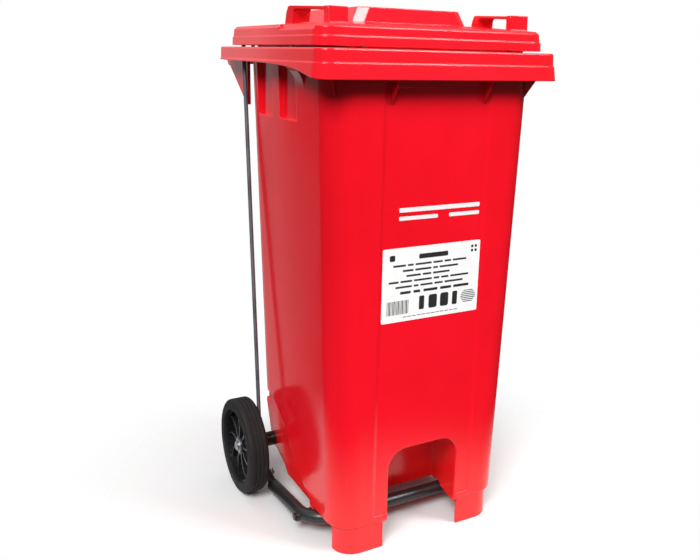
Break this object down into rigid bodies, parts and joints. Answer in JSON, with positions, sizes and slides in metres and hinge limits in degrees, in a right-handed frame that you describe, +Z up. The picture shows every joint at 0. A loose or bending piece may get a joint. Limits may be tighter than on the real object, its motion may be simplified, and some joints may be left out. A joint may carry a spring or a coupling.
{
  "type": "two-wheeled pedal waste bin",
  "caption": "Red plastic two-wheeled waste bin with a foot pedal hoop at the base, lift rods at the sides and a rear-hinged lid with strap grips.",
  "frame": {"origin": "centre of the overall box at floor level, under the middle of the bin", "axes": "+X to the right of a person facing the bin's front, +Y from the front to the back, +Z up"},
  "size_m": [0.53, 0.5485, 1.006],
  "materials": {
    "red_plastic": "gloss, moulded",
    "sticker": "printed film",
    "black_plastic": "satin, moulded",
    "tread_rubber": "matte",
    "soft_rubber": "matte",
    "zinc_steel": "galvanised",
    "black_steel": "satin black coating"
  },
  "bodies": {
    "bin": {"tub": "red_plastic", "label": "sticker", "hinge_pins": "red_plastic", "rim_buffers": "soft_rubber", "axle": "zinc_steel", "axle_spacers": "black_plastic", "wheel_clips": "zinc_steel", "wheel_washers": "zinc_steel", "pivot_bolts": "zinc_steel", "pivot_washers": "zinc_steel", "pivot_spacers": "zinc_steel", "pivot_caps": "black_plastic"},
    "lid": {"lid": "red_plastic"},
    "pedal": {"pedal_hoop": "black_steel", "pivot_bushes": "black_plastic"},
    "rod_left": {"lift_rod_left": "zinc_steel", "rod_washer_left": "zinc_steel", "split_pins_left": "zinc_steel"},
    "rod_right": {"lift_rod_right": "zinc_steel", "rod_washer_right": "zinc_steel", "split_pins_right": "zinc_steel"},
    "wheel_left": {"wheel_hub_left": "black_plastic", "tyre_left": "tread_rubber"},
    "wheel_right": {"wheel_hub_right": "black_plastic", "tyre_right": "tread_rubber"}
  },
  "joints": [
    {"name": "pedal_press", "type": "hinge", "parent": "bin", "child": "pedal", "pos_m": [0, -0.10375, 0.035], "axis": [1, 0, 0], "range_deg": [0, 28]},
    {"name": "lid_open", "type": "hinge", "parent": "bin", "child": "lid", "pos_m": [0, 0.25025, 0.938], "axis": [-1, 0, 0], "range_deg": [0, 54]},
    {"name": "rod_left_swing", "type": "hinge", "parent": "pedal", "child": "rod_left", "pos_m": [-0.201, 0.08025, 0.035], "axis": [1, 0, 0], "range_deg": [-33.5, 0]},
    {"name": "rod_right_swing", "type": "hinge", "parent": "pedal", "child": "rod_right", "pos_m": [0.201, 0.08025, 0.035], "axis": [1, 0, 0], "range_deg": [-33.5, 0]},
    {"name": "wheel_left_turn", "type": "hinge", "parent": "bin", "child": "wheel_left", "pos_m": [-0.244, 0.10925, 0.1], "axis": [1, 0, 0], "continuous": true},
    {"name": "wheel_right_turn", "type": "hinge", "parent": "bin", "child": "wheel_right", "pos_m": [0.244, 0.10925, 0.1], "axis": [1, 0, 0], "continuous": true}
  ],
  "couplings": [
    {"joint": "lid_open", "follows": "pedal_press", "ratio": 1.9285},
    {"joint": "rod_left_swing", "follows": "pedal_press", "ratio": -1.1754},
    {"joint": "rod_right_swing", "follows": "pedal_press", "ratio": -1.1754}
  ]
}
